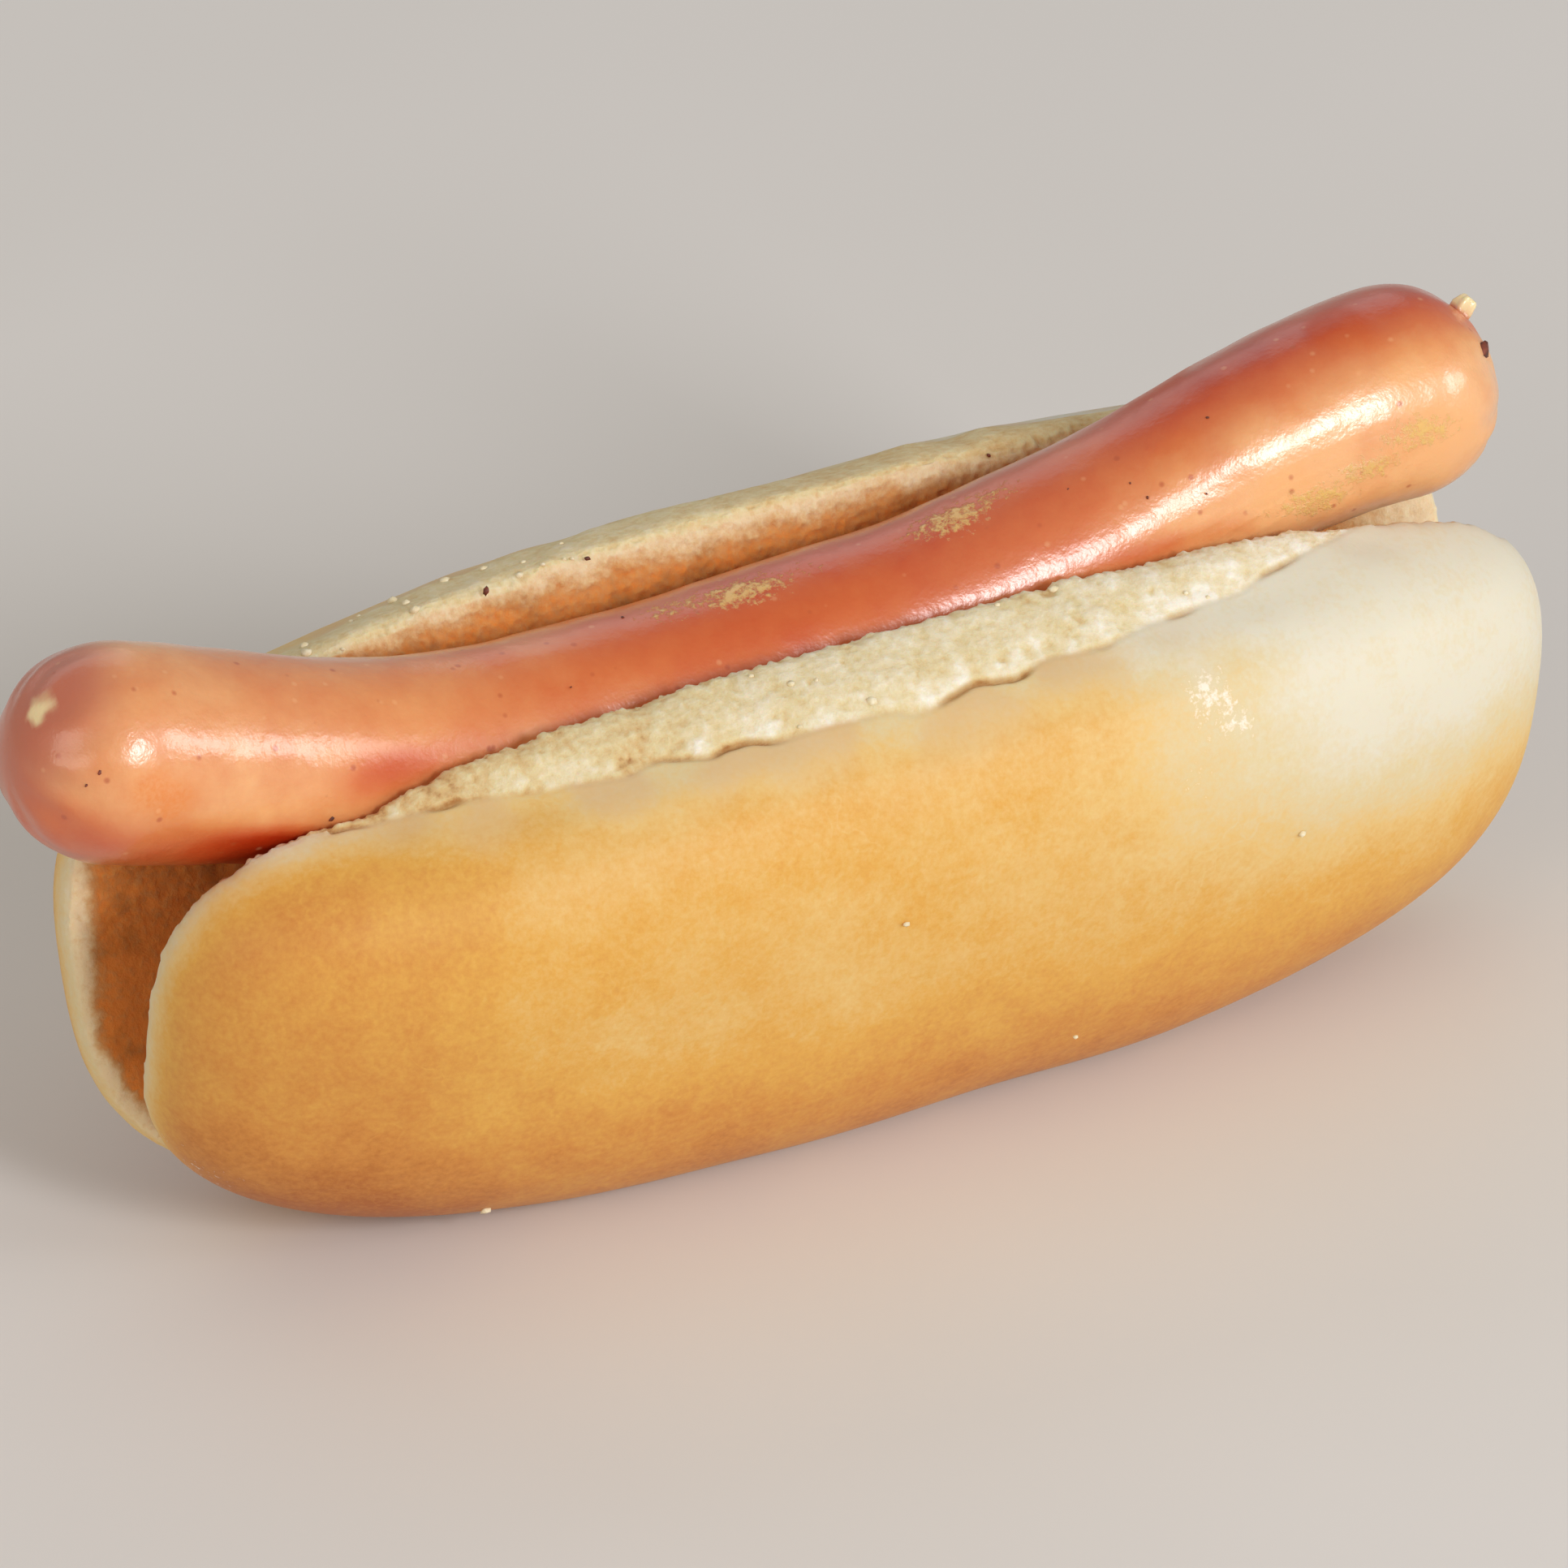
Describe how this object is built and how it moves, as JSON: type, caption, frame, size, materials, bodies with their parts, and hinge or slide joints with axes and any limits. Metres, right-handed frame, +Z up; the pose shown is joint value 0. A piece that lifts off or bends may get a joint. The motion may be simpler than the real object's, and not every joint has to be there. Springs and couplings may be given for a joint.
{
  "type": "hot dog",
  "caption": "Plump curved sausage lying in a soft hinged roll that stands on its uncut spine, with torn crumb along the lips of the cut.",
  "frame": {"origin": "on the surface it stands on, under the middle of the whole", "axes": "+X along the roll towards the end with the casing knot, +Y across the cut away from the fuller half, +Z up"},
  "size_m": [0.1504, 0.0534, 0.0633],
  "materials": {
    "bread": "soft baked crust, matt, with pale crumb where it is torn",
    "sausage_skin": "moist, shiny cooked casing"
  },
  "bodies": {
    "root": {"bun": "bread", "sausage": "sausage_skin"}
  },
  "joints": []
}
